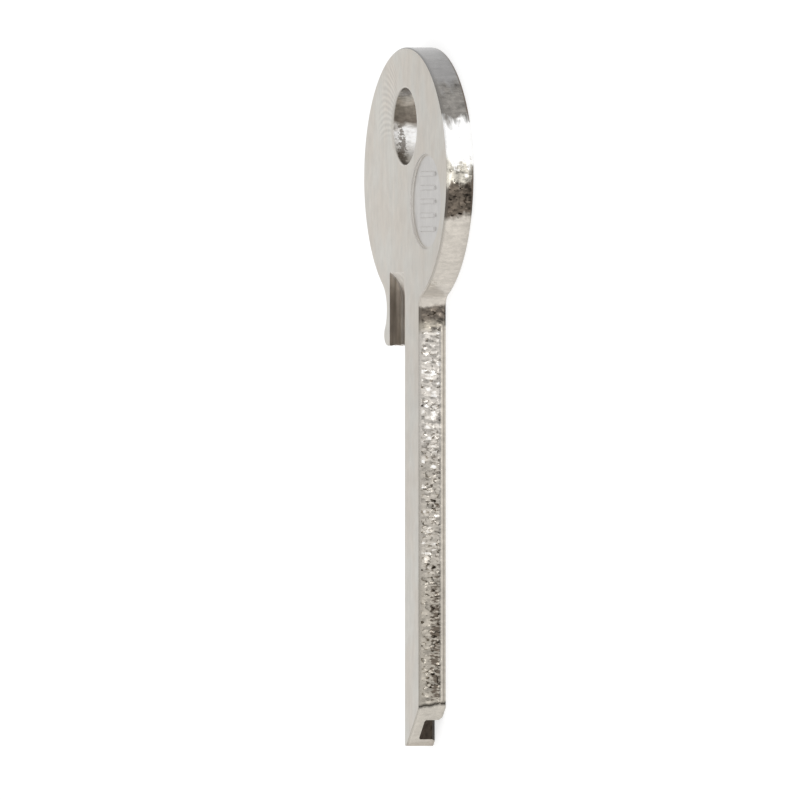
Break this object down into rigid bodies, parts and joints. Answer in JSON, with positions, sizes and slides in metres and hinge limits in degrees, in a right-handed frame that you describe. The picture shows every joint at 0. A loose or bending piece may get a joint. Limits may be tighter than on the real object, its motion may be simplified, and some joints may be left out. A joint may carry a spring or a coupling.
{
  "type": "key blank",
  "caption": "Uncut key blank with a round bow, ring hole, one-sided shoulder stop and a milled blade section that is stepped in front and grooved behind.",
  "frame": {"origin": "on the back face, half way along the key, on the bow's axis", "axes": "+X along the key from the tip to the top of the bow, +Y towards the edge with the shoulder stop, +Z out of the front face"},
  "size_m": [0.0508, 0.0188, 0.0021],
  "materials": {
    "nickel_plate": "bright nickel plate over brass, with torn metal along the punched edges"
  },
  "bodies": {
    "root": {"key_blank": "nickel_plate"}
  },
  "joints": []
}
